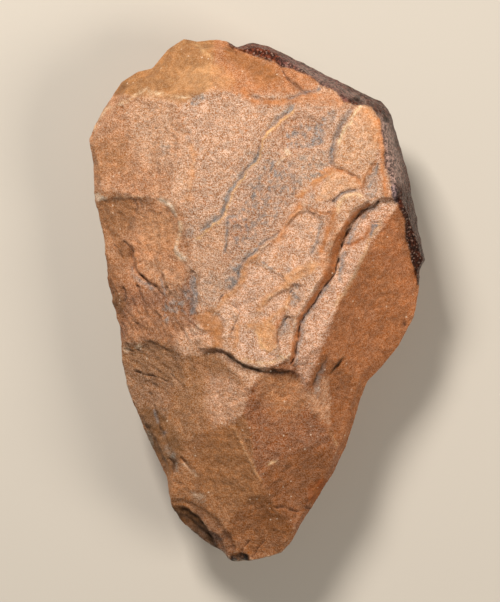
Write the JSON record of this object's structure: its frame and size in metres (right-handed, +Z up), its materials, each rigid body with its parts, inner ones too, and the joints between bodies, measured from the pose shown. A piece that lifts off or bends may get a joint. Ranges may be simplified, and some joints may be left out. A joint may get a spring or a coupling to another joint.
{
  "type": "stone hand axe",
  "caption": "Large knapped stone hand axe of ochre quartzite, pear-shaped, with a pointed tip, stepped front face and dark natural skin left on one side of the butt.",
  "frame": {"origin": "bottom centre of the overall box, on the ground under the middle of the stone", "axes": "+Z up, out of the front face that looks up; +Y from the tip towards the butt, along the length; +X across, towards the side with the long right facet"},
  "size_m": [0.1285, 0.1999, 0.0525],
  "materials": {
    "quartzite": "dull, slightly waxy ochre patina with speckled pinkish grain and dark brown natural skin on one side"
  },
  "bodies": {
    "root": {"hand_axe": "quartzite"}
  },
  "joints": []
}
